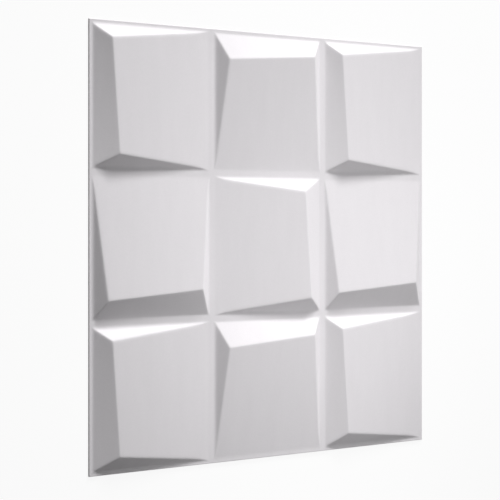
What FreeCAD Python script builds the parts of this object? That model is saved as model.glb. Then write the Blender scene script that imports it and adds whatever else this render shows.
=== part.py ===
"""Relief wall panel: one square tile of pressed plant-fibre pulp, lying on its back with the relief up.

Frame: X to the panel's right, Y to its top, Z out of its face. The origin is at the middle of the back,
so the back lies on z = 0. All sizes are in millimetres.

The tile is a single pressed sheet. Its face is a grid of equal blocks on a flat flange. Each block is a
wedge: its top rises from the foot on one side to a level crest on the other, and the crest runs askew to
the foot, so the high face below it is twisted. Every block is the same form in one of four quarter turns,
which go round each group of four like a pinwheel. Behind each block the sheet is hollow.
"""
import os

import FreeCAD
import Part

# The sheet
PANEL_SIDE = 500.0  # the square module that such tiles are laid on
WALL = 2.0  # gap between the two mould halves, along the press stroke

# The relief
BLOCKS_PER_SIDE = 3
GROOVE = 9.6  # flat channel between the feet of two blocks; half of it runs round the panel
CREST_HEIGHT = 9.7  # of the level crest, above the front of the flange
CREST_INSET_NEAR = 19.8  # from the high foot to the crest, at the end where the high face is steep
CREST_INSET_FAR = 29.4  # the same at the other end
SIDE_INSET = 14.4  # from the foot of a side to the end of the crest
CREST_RADIUS = 3.0  # on the crest and the other outer edges of a block

# Quarter turns of a block, by the parity of its row, counted from the bottom, and of its column
QUARTER_TURNS = ((0, 3), (1, 2))

PITCH = PANEL_SIDE / BLOCKS_PER_SIDE
FOOT_SIDE = PITCH - GROOVE
ROOT = WALL / 4  # how far a block's faces run on below the flange, so that its edges round cleanly
MOULD_DEPTH = CREST_HEIGHT + WALL  # of a mould half below its flange


def patch(a, b, c, d):
    """The ruled face over a ring of four corners, flat or twisted."""
    return Part.makeRuledSurface(Part.makeLine(a, d), Part.makeLine(b, c))


def polygon(*corners):
    """The flat face inside a ring of corners."""
    return Part.Face(Part.makePolygon([*corners, corners[0]]))


def rooted(foot, crest):
    """The point where the line from a crest end through a foot corner has gone on down by ROOT."""
    return foot + (foot - crest) * (ROOT / CREST_HEIGHT)


def block():
    """One rounded block, over the middle of its cell, with its foot on z = 0 and its high side to -X."""
    half = FOOT_SIDE / 2
    near = FreeCAD.Vector(CREST_INSET_NEAR - half, half - SIDE_INSET, CREST_HEIGHT)
    far = FreeCAD.Vector(CREST_INSET_FAR - half, SIDE_INSET - half, CREST_HEIGHT)
    high_near = rooted(FreeCAD.Vector(-half, half, 0), near)
    high_far = rooted(FreeCAD.Vector(-half, -half, 0), far)
    low_near = rooted(FreeCAD.Vector(half, half, 0), near)
    low_far = rooted(FreeCAD.Vector(half, -half, 0), far)
    faces = [
        patch(near, low_near, low_far, far),
        patch(high_near, near, far, high_far),
        polygon(near, high_near, low_near),
        polygon(far, low_far, high_far),
        polygon(high_near, high_far, low_far, low_near),
    ]
    shell = Part.makeShell(faces)
    shell.sewShape()
    solid = Part.makeSolid(shell)
    outer_edges = [edge for edge in solid.Edges if edge.BoundBox.ZMax > 0]
    return solid.makeFillet(CREST_RADIUS, outer_edges)


def cell():
    """One cell of a mould half: a block on its square of flange."""
    corner = FreeCAD.Vector(-PITCH / 2, -PITCH / 2, -MOULD_DEPTH)
    bounds = Part.makeBox(PITCH, PITCH, 2 * MOULD_DEPTH, corner)
    flange = Part.makeBox(PITCH, PITCH, MOULD_DEPTH, corner)
    return flange.fuse(block().common(bounds)).removeSplitter()


def mould_half():
    """The whole form of the face: the cell in its quarter turns over the grid, with the flange on z = 0."""
    one = cell()
    middle = (BLOCKS_PER_SIDE - 1) / 2
    cells = []
    for row in range(BLOCKS_PER_SIDE):
        for column in range(BLOCKS_PER_SIDE):
            turned = one.copy()
            turn = 90 * QUARTER_TURNS[row % 2][column % 2]
            turned.rotate(FreeCAD.Vector(), FreeCAD.Vector(0, 0, 1), turn)
            turned.translate(FreeCAD.Vector((column - middle) * PITCH, (row - middle) * PITCH, 0))
            cells.append(turned)
    return cells[0].multiFuse(cells[1:]).removeSplitter()


def wall_panel():
    """The pressed sheet: what is left between the form and the same form one wall lower."""
    back = mould_half()
    face = back.copy()
    face.translate(FreeCAD.Vector(0, 0, WALL))
    return face.cut(back).removeSplitter()


def main():
    os.makedirs("parts", exist_ok=True)
    panel = wall_panel()
    box = panel.optimalBoundingBox()
    print(
        f"wall_panel: {len(panel.Solids)} solid, valid {panel.isValid()}, {len(panel.Faces)} faces, "
        f"{box.XLength:.2f} x {box.YLength:.2f} x {box.ZLength:.2f} mm, {panel.Volume / 1000:.1f} cm3"
    )
    panel.exportStep("parts/wall_panel.step")


main()
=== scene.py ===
# %% [markdown]
# # A relief wall panel in pressed fibre
#
# The object is one square tile for a wall. Plant-fibre pulp was pressed between two mould halves, so the
# tile is a single thin sheet: a flat flange with nine wedge-shaped blocks standing out of it, and a hollow
# behind each block. It is unpainted, matte and nearly white.
#
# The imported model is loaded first, because it fixes where the tile is and how large it is. Everything below
# is in metres in that same frame: X to the tile's right, Y to its top and Z out of its face.

# %% Load the frame
import math

import bpy
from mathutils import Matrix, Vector


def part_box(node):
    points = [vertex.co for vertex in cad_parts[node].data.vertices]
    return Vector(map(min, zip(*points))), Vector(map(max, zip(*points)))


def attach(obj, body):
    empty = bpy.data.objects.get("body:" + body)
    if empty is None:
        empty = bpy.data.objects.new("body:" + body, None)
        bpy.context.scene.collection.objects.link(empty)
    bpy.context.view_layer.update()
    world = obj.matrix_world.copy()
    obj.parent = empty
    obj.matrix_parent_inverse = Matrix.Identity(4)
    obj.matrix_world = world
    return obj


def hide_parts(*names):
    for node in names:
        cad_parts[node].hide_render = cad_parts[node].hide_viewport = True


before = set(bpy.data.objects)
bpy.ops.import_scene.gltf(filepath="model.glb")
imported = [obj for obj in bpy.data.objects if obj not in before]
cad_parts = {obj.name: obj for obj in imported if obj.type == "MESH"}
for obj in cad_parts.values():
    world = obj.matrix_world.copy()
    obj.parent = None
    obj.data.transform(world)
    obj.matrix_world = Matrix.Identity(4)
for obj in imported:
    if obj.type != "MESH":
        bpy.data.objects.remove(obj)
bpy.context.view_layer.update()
panel_low, panel_high = (Vector(corner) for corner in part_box("wall_panel"))
MM = 0.001
print("panel from", [round(v, 4) for v in panel_low], "to", [round(v, 4) for v in panel_high])

# %% [markdown]
# ## Camera
#
# The tile lies on its back and the camera looks down on it from its left, so that it is seen at the same
# slant as in the photograph. A camera in Blender starts by looking along -Z with +Y up, which is just how
# one looks at this tile, so a single turn about Y sets the slant. The long lens keeps the far edge nearly
# as tall as the near one. The small vertical shift moves the frame without tilting the camera, and so the
# tile's left and right edges stay upright.

# %% Place the camera
SENSOR = 36.0  # millimetres, as for the lens
LENS = 120.66
SLANT = math.radians(-37.96)
CAMERA_PLACE = (-1.23459, 0.03348, 1.54905)
FRAME_SHIFT = -0.0663  # in widths of the frame

camera_data = bpy.data.cameras.new("camera")
camera_data.sensor_width = SENSOR
camera_data.lens = LENS
camera_data.shift_y = FRAME_SHIFT
camera = bpy.data.objects.new("camera", camera_data)
camera.location = CAMERA_PLACE
camera.rotation_euler = (0, SLANT, 0)
bpy.context.scene.collection.objects.link(camera)
bpy.context.scene.camera = camera
print("camera", round(camera.location.length, 3), "m from the middle of the panel's back")

# %% [markdown]
# ## Writing node trees as expressions
#
# Both the sheet's shape and its finish are node trees. Adding and linking dozens of nodes by hand is hard to
# read, so two small helpers do it. A `Wire` is one socket that understands Python's arithmetic: `a * 2 + b`
# adds two Math nodes. A `Graph` is one tree, and its `node` method makes any other node from its type, its
# settings and what goes into its sockets.


# %% Helpers for node trees
class Wire:
    """An output socket of a node. Arithmetic on it adds Math nodes to its tree."""

    def __init__(self, graph, socket):
        self.graph = graph
        self.socket = socket

    def output(self, name):
        """Another output of the same node."""
        return Wire(self.graph, self.socket.node.outputs[name])

    def __add__(self, other):
        return self.graph.math("ADD", self, other)

    def __radd__(self, other):
        return self.graph.math("ADD", other, self)

    def __sub__(self, other):
        return self.graph.math("SUBTRACT", self, other)

    def __rsub__(self, other):
        return self.graph.math("SUBTRACT", other, self)

    def __mul__(self, other):
        return self.graph.math("MULTIPLY", self, other)

    def __rmul__(self, other):
        return self.graph.math("MULTIPLY", other, self)

    def __truediv__(self, other):
        return self.graph.math("DIVIDE", self, other)

    def __rtruediv__(self, other):
        return self.graph.math("DIVIDE", other, self)

    def __abs__(self):
        return self.graph.math("ABSOLUTE", self)


class Graph:
    """A node tree that is being written."""

    def __init__(self, tree):
        self.tree = tree
        tree.nodes.clear()

    def node(self, kind, settings=None, sockets=None, output=None):
        """Adds a node: its settings first, then a value, a wire or a list of wires for each socket.

        A socket is given by its name or its number. What comes back is the named output, or the first one.
        """
        made = self.tree.nodes.new(kind)
        for name, value in (settings or {}).items():
            setattr(made, name, value)
        for key, value in (sockets or {}).items():
            socket = next(s for i, s in enumerate(made.inputs) if s.enabled and key in (i, s.name))
            for item in value if isinstance(value, list) else [value]:
                if isinstance(item, Wire):
                    self.tree.links.new(item.socket, socket)
                else:
                    socket.default_value = item
        outputs = [s for s in made.outputs if s.enabled and output in (None, s.name)]
        return Wire(self, outputs[0]) if outputs else None

    def math(self, operation, *values):
        """Adds a Math node over one or two values."""
        return self.node("ShaderNodeMath", {"operation": operation}, dict(enumerate(values)))

    def least(self, a, b):
        """The lower of two values."""
        return self.math("MINIMUM", a, b)

    def most(self, a, b):
        """The higher of two values."""
        return self.math("MAXIMUM", a, b)


print("node helpers ready")

# %% [markdown]
# ## Sizes of the sheet
#
# A few sizes drive the whole relief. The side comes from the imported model, and the rest are the mould
# maker's sizes: how wide the channel between two blocks is, how high the crest stands and how far it is set
# in. On the real sheet the pulp doesn't fill a sharp corner, so the outer edges are rounded a little and the
# foot of each face runs out into the flange in a wider hollow curve.

# %% Name the sizes
SHEET_SIZES = {
    "Panel Side": panel_high.x - panel_low.x,
    "Blocks per Side": 3,
    "Wall": 2.0 * MM,
    "Groove": 9.6 * MM,
    "Crest Height": 9.7 * MM,
    "Crest Inset Near": 19.8 * MM,
    "Crest Inset Far": 29.4 * MM,
    "Side Inset": 14.4 * MM,
    "Edge Radius": 4.5 * MM,
    "Foot Radius": 7.0 * MM,
    "Low Foot Blend": 0.15 * MM,  # a height, because the top leaves the flange too flat for a radius
    "Pulp Ripple": 0.03 * MM,
    "Ripple Seed": 7.0,
}
for size_name, size in SHEET_SIZES.items():
    print(f"{size_name}: {size:.5g}")

# %% [markdown]
# ## The block's rule
#
# One block is the lowest of four slanted surfaces: two sides, the high face and the long top. That is a
# rule, so Geometry Nodes can work out the height of every point. The top and the high face meet in a level
# crest that runs askew to the foot, so how far the crest is set in changes steadily across the block, and
# this is what twists the high face.
#
# `rounded` lets two surfaces meet in a soft edge, and `cove` lifts a surface off the flange in a hollow
# curve. Both blends grow with the square of the slope, because that keeps their radius the same. The high
# face and the sides are rounded into one flank before the cove, so that the foot goes round the block's
# corners too. The top joins them last.

# %% Write the block's height as a formula
RUN_OUT = 0.6  # share of the height that an edge's rounding may take, so that it runs out on the flange
LEAST_BLEND = 0.0001 * MM  # keeps the rounding from dividing by zero at the foot


def cove(graph, surface, blend):
    """The surface above the flange, with a hollow curve where it leaves it."""
    near_flange = graph.most(blend - abs(surface), 0.0)
    return graph.most(surface, 0.0) + near_flange * near_flange / (4.0 * blend)


def rounded(graph, first, second, blend):
    """The lower of two surfaces, softened where they meet."""
    near_edge = graph.most(blend - abs(first - second), 0.0)
    return graph.least(first, second) - near_edge * near_edge / (4.0 * blend)


def block_height(graph, size, across, along, foot):
    """Height above the flange, at `across` in from the high foot and `along` in from the far side."""
    height = size["Crest Height"]
    edge = size["Edge Radius"] / 2.0
    hollow = size["Foot Radius"] / 2.0
    twist = (size["Crest Inset Near"] - size["Crest Inset Far"]) / (foot - 2.0 * size["Side Inset"])
    inset = size["Crest Inset Far"] + (along - size["Side Inset"]) * twist
    high_slope = height / inset
    top_slope = height / (foot - inset)
    side_slope = height / size["Side Inset"]
    side_square = side_slope * side_slope
    high_square = high_slope * high_slope
    crest_square = (high_slope + top_slope) * (high_slope + top_slope)

    high = across * high_slope
    sides = graph.least(along, foot - along) * side_slope
    past_corner = 0.5 + (high - sides) / (2.0 * edge * side_square)
    on_side = graph.least(graph.most(past_corner, 0.0), 1.0)  # from 0 on the high face to 1 on a side
    slants = rounded(graph, high, sides, edge * side_square)
    flank = cove(graph, slants, hollow * (high_square + (side_square - high_square) * on_side))
    top = cove(graph, (foot - across) * top_slope, size["Low Foot Blend"])
    blend = edge * (crest_square + (side_square - crest_square) * on_side)
    run_out = graph.least(flank, top) * RUN_OUT
    return rounded(graph, flank, top, graph.most(graph.least(blend, run_out), LEAST_BLEND))


print("block rule ready")

# %% [markdown]
# ## Mesh lines that follow the edges
#
# An even grid would cut the slanted crests into stairs. So the lines of the grid are pulled on to the
# edges: each line crosses five stretches, which are the flange, a face, the top, the other face and the
# flange again, and the lines crowd together where one stretch ends and the next begins. At the cell's border
# the spacing is the same on all four sides, and so two neighbouring cells share their points whichever way
# each is turned.

# %% Lay the mesh lines of one cell
FLANGE_STEPS = 6  # mesh faces across half a groove
FACE_STEPS = 12  # across a side or the high face
TOP_STEPS = 28
LINE_STEPS = 2 * (FLANGE_STEPS + FACE_STEPS) + TOP_STEPS
LEAST_STRIP = 1.5 * MM  # keeps the mesh lines of a side apart where that side runs out


def stretches(graph, line):
    """How far a mesh line has gone over each of the five stretches, as shares from 0 to 1."""
    shares = []
    first = 0
    for steps in (FLANGE_STEPS, FACE_STEPS, TOP_STEPS, FACE_STEPS, FLANGE_STEPS):
        easing = "LINEAR" if steps == FLANGE_STEPS else "SMOOTHSTEP"
        reach = {"Value": line, "From Min": float(first), "From Max": float(first + steps)}
        shares.append(graph.node("ShaderNodeMapRange", {"interpolation_type": easing}, reach))
        first += steps
    return shares


def run(shares, lengths):
    """The distance covered after the given shares of five lengths."""
    total = shares[0] * lengths[0]
    for share, length in zip(shares[1:], lengths[1:]):
        total = total + share * length
    return total


def cell_mesh(graph, size, foot):
    """One block on its square of flange, over the middle of the cell, with the flange on z = 0."""
    grid = graph.node(
        "GeometryNodeMeshGrid",
        sockets={
            "Size X": float(LINE_STEPS),
            "Size Y": float(LINE_STEPS),
            "Vertices X": LINE_STEPS + 1,
            "Vertices Y": LINE_STEPS + 1,
        },
    )
    place = graph.node("ShaderNodeSeparateXYZ", sockets={"Vector": graph.node("GeometryNodeInputPosition")})
    column = stretches(graph, place.output("X") + LINE_STEPS / 2)
    row = stretches(graph, place.output("Y") + LINE_STEPS / 2)
    border = size["Groove"] / 2.0
    side = size["Side Inset"]

    crest = size["Crest Inset Far"] + (size["Crest Inset Near"] - size["Crest Inset Far"]) * row[2]
    inset = side + (crest - side) * (row[0] - row[4])
    across = run(column, (border, inset, foot - inset - side, side, border)) - border

    reach = graph.least(across / inset, (foot - across) / (foot - inset))
    strip = side + (graph.most(side * reach, LEAST_STRIP) - side) * (column[0] - column[4])
    along = run(row, (border, strip, foot - 2.0 * strip, strip, border)) - border

    height = block_height(graph, size, across, along, foot)
    centred = {"X": across - foot / 2.0, "Y": along - foot / 2.0, "Z": height}
    spot = graph.node("ShaderNodeCombineXYZ", sockets=centred)
    return graph.node("GeometryNodeSetPosition", sockets={"Geometry": grid, "Position": spot})


print("one cell has", LINE_STEPS**2, "faces")

# %% [markdown]
# ## From one cell to the pressed sheet
#
# All nine blocks are the same form, turned by quarter turns so that each group of four goes round like a
# pinwheel. So the cell is instanced on a grid of points, with its turn worked out from the row and the
# column. The realized cells are welded into one sheet. Both faces of a pressed sheet have the same form, one
# wall apart along the press stroke, so the sheet is extruded by the wall and its back is flipped to face
# outwards. The narrow faces that the extrusion leaves all round are where the sheet was trimmed. They are
# marked with an attribute, so that the finish can tell them from the pressed faces.

# %% Write the tree of the sheet
WELD = 0.002 * MM  # points closer than this are one
RIPPLES = 22.0  # of the pulp, to a metre
CUT_EDGE = "cut_edge"  # attribute that is 1 on the trimmed edges and 0 elsewhere


def sheet_inputs(tree):
    """Gives the tree an input for each size, and its one output."""
    for name in SHEET_SIZES:
        kind = "NodeSocketInt" if name == "Blocks per Side" else "NodeSocketFloat"
        tree.interface.new_socket(name, in_out="INPUT", socket_type=kind)
    tree.interface.new_socket("Sheet", in_out="OUTPUT", socket_type="NodeSocketGeometry")


def pinwheel(graph, cell, size, pitch):
    """The cell on every point of the grid, in its quarter turn."""
    blocks = size["Blocks per Side"]
    spread = pitch * (blocks - 1)
    points = graph.node(
        "GeometryNodeMeshGrid",
        sockets={"Size X": spread, "Size Y": spread, "Vertices X": blocks, "Vertices Y": blocks},
    )
    place = graph.node("ShaderNodeSeparateXYZ", sockets={"Vector": graph.node("GeometryNodeInputPosition")})
    column = graph.math("MODULO", graph.math("ROUND", (place.output("X") + spread / 2.0) / pitch), 2.0)
    row = graph.math("MODULO", graph.math("ROUND", (place.output("Y") + spread / 2.0) / pitch), 2.0)
    quarter_turns = row + column * (3.0 - 2.0 * row)  # 0 and 3 along one row, 1 and 2 along the next
    turn = graph.node("ShaderNodeCombineXYZ", sockets={"Z": quarter_turns * (math.pi / 2)})
    return graph.node(
        "GeometryNodeInstanceOnPoints", sockets={"Points": points, "Instance": cell, "Rotation": turn}
    )


def pressed_sheet(graph, form, size):
    """The form as the back of the sheet, and the same form one wall higher as its face."""
    stroke = graph.node("ShaderNodeCombineXYZ", sockets={"Z": size["Wall"]})
    raised = graph.node(
        "GeometryNodeExtrudeMesh",
        {"mode": "FACES"},
        {"Mesh": form, "Offset": stroke, "Offset Scale": 1.0, "Individual": False},
    )
    marked = graph.node(
        "GeometryNodeStoreNamedAttribute",
        {"data_type": "FLOAT", "domain": "FACE"},
        {"Geometry": raised, "Selection": raised.output("Side"), "Name": CUT_EDGE, "Value": 1.0},
    )
    pulp = graph.node(
        "ShaderNodeTexNoise",
        {"noise_dimensions": "4D"},
        {"W": size["Ripple Seed"], "Scale": RIPPLES, "Detail": 2.0},
    )
    sag = graph.node("ShaderNodeCombineXYZ", sockets={"Z": pulp * size["Pulp Ripple"] * -1.0})
    face = graph.node(
        "GeometryNodeSetPosition",
        sockets={"Geometry": marked, "Selection": raised.output("Top"), "Offset": sag},
    )
    back = graph.node("GeometryNodeFlipFaces", sockets={"Mesh": form})
    both = graph.node("GeometryNodeJoinGeometry", sockets={"Geometry": [face, back]})
    return graph.node("GeometryNodeMergeByDistance", sockets={"Geometry": both, "Distance": WELD})


def sheet_tree(finish):
    """The whole tree, from the sizes to the finished sheet."""
    tree = bpy.data.node_groups.new("pressed_relief_sheet", "GeometryNodeTree")
    sheet_inputs(tree)
    graph = Graph(tree)
    entry = graph.node("NodeGroupInput")
    size = {name: entry.output(name) for name in SHEET_SIZES}
    pitch = size["Panel Side"] / size["Blocks per Side"]
    cells = pinwheel(graph, cell_mesh(graph, size, pitch - size["Groove"]), size, pitch)
    loose = graph.node("GeometryNodeRealizeInstances", sockets={"Geometry": cells})
    form = graph.node("GeometryNodeMergeByDistance", sockets={"Geometry": loose, "Distance": WELD})
    sheet = pressed_sheet(graph, form, size)
    finished = graph.node("GeometryNodeSetMaterial", sockets={"Geometry": sheet, "Material": finish})
    graph.node("NodeGroupOutput", sockets={"Sheet": finished})
    return tree


print("sheet tree ready")

# %% [markdown]
# ## Finish: matte pressed fibre
#
# Dried pulp is a dull near-white. Up close one sees faint upright streaks where the fibres lie thicker,
# short fibres that lie every way, and a soft tooth from the drying felt. An image of fibres could be
# wrapped on, but noise that is stretched and turned holds up at any distance and never repeats. Three
# layers of it, each turned its own way, are averaged into the fibres. None of it is strong: the colour and
# the roughness change only a little, and a fine bump gives the tooth. A trimmed edge is duller and rougher,
# because the cut opens the fibres. All of it is laid out on Object coordinates, which are metres in the
# tile's own frame, so the grain keeps its true size.

# %% Choose the tones and the grain
FIBRE_WHITE = (0.766, 0.744, 0.766, 1.0)
FIBRE_SHADE = (0.700, 0.679, 0.700, 1.0)
CUT_TONE = (0.715, 0.690, 0.690, 1.0)
STREAK = (13.3 * MM, 62.5 * MM, 13.3 * MM)  # size of one, along X, Y and Z, as for the next two
SPECK = (1.1 * MM, 1.1 * MM, 1.1 * MM)
STRAND = (6.2 * MM, 0.9 * MM, 2.5 * MM)
STRAND_TURNS = (0.4, 1.5, 2.6)  # radians
STRAND_SPREAD = (0.4, 0.6)  # the averaged layers mostly stay in this range, which is drawn out to 0 and 1
STREAK_SHADE = 0.5  # share of the streaks in how dark a spot is, and below that of the other two
STRAND_SHADE = 0.35
SPECK_SHADE = 0.15
TOOTH_STRENGTH = 0.4
TOOTH_HEIGHT = 0.04 * MM
SPECK_HEIGHT = 1.2  # against a fibre's
CUT_TOOTH = 3.0  # height of the tooth on a cut edge, against a pressed face's
CUT_COVER = 0.3  # least share of the cut's own tone on a cut edge
LEAST_ROUGHNESS = 0.78
FIBRE_ROUGHNESS = 0.12  # added on a fibre
CUT_ROUGHNESS = 0.06  # added on a cut edge
GLOSS = 0.25  # specular level, half of the shader's own
print("a fibre is about", round(STRAND[0] / MM, 1), "mm long and", round(STRAND[1] / MM, 1), "mm wide")


# %% Make the fibre finish
def laid_noise(graph, place, blob, turn=0.0, **sockets):
    """Noise in blobs of a given size in metres, turned in the plane of the sheet."""
    lay = graph.node(
        "ShaderNodeMapping",
        {"vector_type": "TEXTURE"},
        {"Vector": place, "Rotation": (0, 0, turn), "Scale": blob},
    )
    return graph.node("ShaderNodeTexNoise", sockets={"Vector": lay, "Scale": 1.0, **sockets})


def matted_fibres(graph, place):
    """From 0 between the fibres to 1 on them."""
    layers = [laid_noise(graph, place, STRAND, turn, Detail=3.0, Distortion=2.0) for turn in STRAND_TURNS]
    average = (layers[0] + layers[1] + layers[2]) / len(layers)
    thin, thick = STRAND_SPREAD
    return graph.node("ShaderNodeMapRange", sockets={"Value": average, "From Min": thin, "From Max": thick})


def mixed_colour(graph, share, first, second):
    """The first colour, with a share of the second."""
    return graph.node("ShaderNodeMix", {"data_type": "RGBA"}, {"Factor": share, "A": first, "B": second})


def fibre_finish():
    """The material of the whole sheet, pressed faces and cut edges."""
    material = bpy.data.materials.new("pressed_fibre")
    material.use_nodes = True
    graph = Graph(material.node_tree)
    place = graph.node("ShaderNodeTexCoord", output="Object")
    cut = graph.node("ShaderNodeAttribute", {"attribute_name": CUT_EDGE}, output="Fac")
    streaks = laid_noise(graph, place, STREAK, Detail=3.0)
    specks = laid_noise(graph, place, SPECK, Detail=2.0)
    fibres = matted_fibres(graph, place)

    shade = streaks * STREAK_SHADE + fibres * STRAND_SHADE + specks * SPECK_SHADE
    pressed = mixed_colour(graph, shade, FIBRE_WHITE, FIBRE_SHADE)
    opened = cut * (CUT_COVER + (1.0 - CUT_COVER) * fibres)
    relief = (fibres + specks * SPECK_HEIGHT) * (1.0 + (CUT_TOOTH - 1.0) * cut)
    tooth = graph.node(
        "ShaderNodeBump",
        sockets={"Strength": TOOTH_STRENGTH, "Distance": TOOTH_HEIGHT, "Height": relief},
    )
    shader = graph.node(
        "ShaderNodeBsdfPrincipled",
        sockets={
            "Base Color": mixed_colour(graph, opened, pressed, CUT_TONE),
            "Roughness": LEAST_ROUGHNESS + FIBRE_ROUGHNESS * fibres + CUT_ROUGHNESS * cut,
            "Specular IOR Level": GLOSS,
            "Normal": tooth,
        },
    )
    graph.node("ShaderNodeOutputMaterial", sockets={"Surface": shader})
    return material


fibre = fibre_finish()
print("finish has", len(fibre.node_tree.nodes), "nodes")

# %% [markdown]
# ## Make the sheet
#
# The modifier's inputs are set by their identifiers, before the object is first evaluated. The result is
# then kept as a plain mesh, and the object that carried the modifier is thrown away. The four outer edges
# get a fine bevel, because a trimmed sheet never has a perfectly sharp arris.

# %% Evaluate the tree and keep a plain mesh
ARRIS = 0.5 * MM
ARRIS_STEPS = 2
SMOOTH_UP_TO = math.radians(40)  # a sharper meeting of two faces is an edge, and gets the arris


def evaluated_mesh(tree, inputs):
    """The mesh that a geometry tree gives with these inputs."""
    carrier = bpy.data.objects.new("carrier", bpy.data.meshes.new("carrier"))
    bpy.context.scene.collection.objects.link(carrier)
    modifier = carrier.modifiers.new("sheet", "NODES")
    modifier.node_group = tree
    for item in tree.interface.items_tree:
        if item.in_out == "INPUT":
            modifier[item.identifier] = inputs[item.name]
    depsgraph = bpy.context.evaluated_depsgraph_get()
    mesh = bpy.data.meshes.new_from_object(carrier.evaluated_get(depsgraph))
    bpy.data.objects.remove(carrier)
    return mesh


sheet_mesh = evaluated_mesh(sheet_tree(fibre), SHEET_SIZES)
sheet_mesh.shade_smooth()
sheet_mesh.set_sharp_from_angle(angle=SMOOTH_UP_TO)
relief_sheet = bpy.data.objects.new("relief_sheet", sheet_mesh)
bpy.context.scene.collection.objects.link(relief_sheet)
bevel = relief_sheet.modifiers.new("arris", "BEVEL")
bevel.width = ARRIS
bevel.segments = ARRIS_STEPS
bevel.limit_method = "ANGLE"
bevel.angle_limit = SMOOTH_UP_TO
bevel.use_clamp_overlap = False
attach(relief_sheet, "root")
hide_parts("wall_panel")
print("sheet:", len(sheet_mesh.vertices), "points,", len(sheet_mesh.polygons), "faces")

# %% [markdown]
# ## Floor and background
#
# The tile lies on a plain white floor, and the picture's background is white. More light on the floor would
# also burn out the tile. So the floor shows the camera an even white with a little of its real shading mixed
# in, which keeps the tile's shadow on it, and it still lights the tile as an ordinary pale floor would. The
# world is white where it is seen, directly or in a gloss, and gives no other light.

# %% Lay the floor
FLOOR_HALF = 4.0
FLOOR_WHITE = (0.9, 0.9, 0.9, 1.0)
FULL_WHITE = (1.0, 1.0, 1.0, 1.0)
SHOWN_WHITE = 0.9  # share of the even white in what the camera sees of the floor
FLOOR_GAP = 0.02 * MM  # keeps the floor clear of the flat back, which would otherwise flicker through it


def seen_directly(graph):
    """1 for rays that reach a surface from the camera, a gloss or a glass, and 0 for its light on others."""
    path = graph.node("ShaderNodeLightPath")
    rays = path.output("Is Camera Ray") + path.output("Is Glossy Ray") + path.output("Is Transmission Ray")
    return graph.least(rays, 1.0)


def floor_finish():
    """An even white to the eye, with a little real shading, and a pale floor to the tile."""
    material = bpy.data.materials.new("floor_white")
    material.use_nodes = True
    graph = Graph(material.node_tree)
    shaded = graph.node("ShaderNodeBsdfDiffuse", sockets={"Color": FLOOR_WHITE})
    white = graph.node("ShaderNodeEmission", sockets={"Color": FULL_WHITE, "Strength": 1.0})
    share = seen_directly(graph) * SHOWN_WHITE
    mixed = graph.node("ShaderNodeMixShader", sockets={0: share, 1: shaded, 2: white})
    graph.node("ShaderNodeOutputMaterial", sockets={"Surface": mixed})
    return material


corner_signs = ((-1, -1), (1, -1), (1, 1), (-1, 1))
floor_level = panel_low.z - FLOOR_GAP
floor_corners = [(x * FLOOR_HALF, y * FLOOR_HALF, floor_level) for x, y in corner_signs]
floor_mesh = bpy.data.meshes.new("floor")
floor_mesh.from_pydata(floor_corners, [], [(0, 1, 2, 3)])
floor_mesh.materials.append(floor_finish())
floor = bpy.data.objects.new("floor", floor_mesh)
bpy.context.scene.collection.objects.link(floor)
print("floor", 2 * FLOOR_HALF, "m wide")

# %% Set the background
world = bpy.data.worlds.new("world")
bpy.context.scene.world = world
world.use_nodes = True
world_graph = Graph(world.node_tree)
dark = world_graph.node("ShaderNodeBackground", sockets={"Color": FULL_WHITE, "Strength": 0.0})
white = world_graph.node("ShaderNodeBackground", sockets={"Color": FULL_WHITE, "Strength": 1.0})
shown = world_graph.node("ShaderNodeMixShader", sockets={0: seen_directly(world_graph), 1: dark, 2: white})
world_graph.node("ShaderNodeOutputWorld", sockets={"Surface": shown})
print("background has", len(world.node_tree.nodes), "nodes")

# %% [markdown]
# ## Light
#
# The photograph's upper slopes are nearly white and its lower ones mid-grey, so its main light comes low
# over the tile's top edge. A weak lamp a little wider than the tile, close above it, fills the rest. Both
# are area lamps, whose size makes the edge of a shadow soft. They are hidden from the camera, because the
# one above the tile would stand in its way.


# %% Hang the lamps
def soft_lamp(name, place, side, watts):
    """A square lamp at a place, facing the middle of the panel."""
    data = bpy.data.lights.new(name, "AREA")
    data.shape = "SQUARE"
    data.size = side
    data.energy = watts
    lamp = bpy.data.objects.new(name, data)
    lamp.location = place
    lamp.rotation_euler = (-Vector(place)).to_track_quat("-Z", "Y").to_euler()
    lamp.visible_camera = False
    bpy.context.scene.collection.objects.link(lamp)


soft_lamp("low_softbox", place=(0.62, 2.80, 1.03), side=0.72, watts=141.0)
soft_lamp("overhead", place=(0.08, -0.06, 0.35), side=0.60, watts=1.20)
bpy.context.scene.view_settings.view_transform = "Standard"
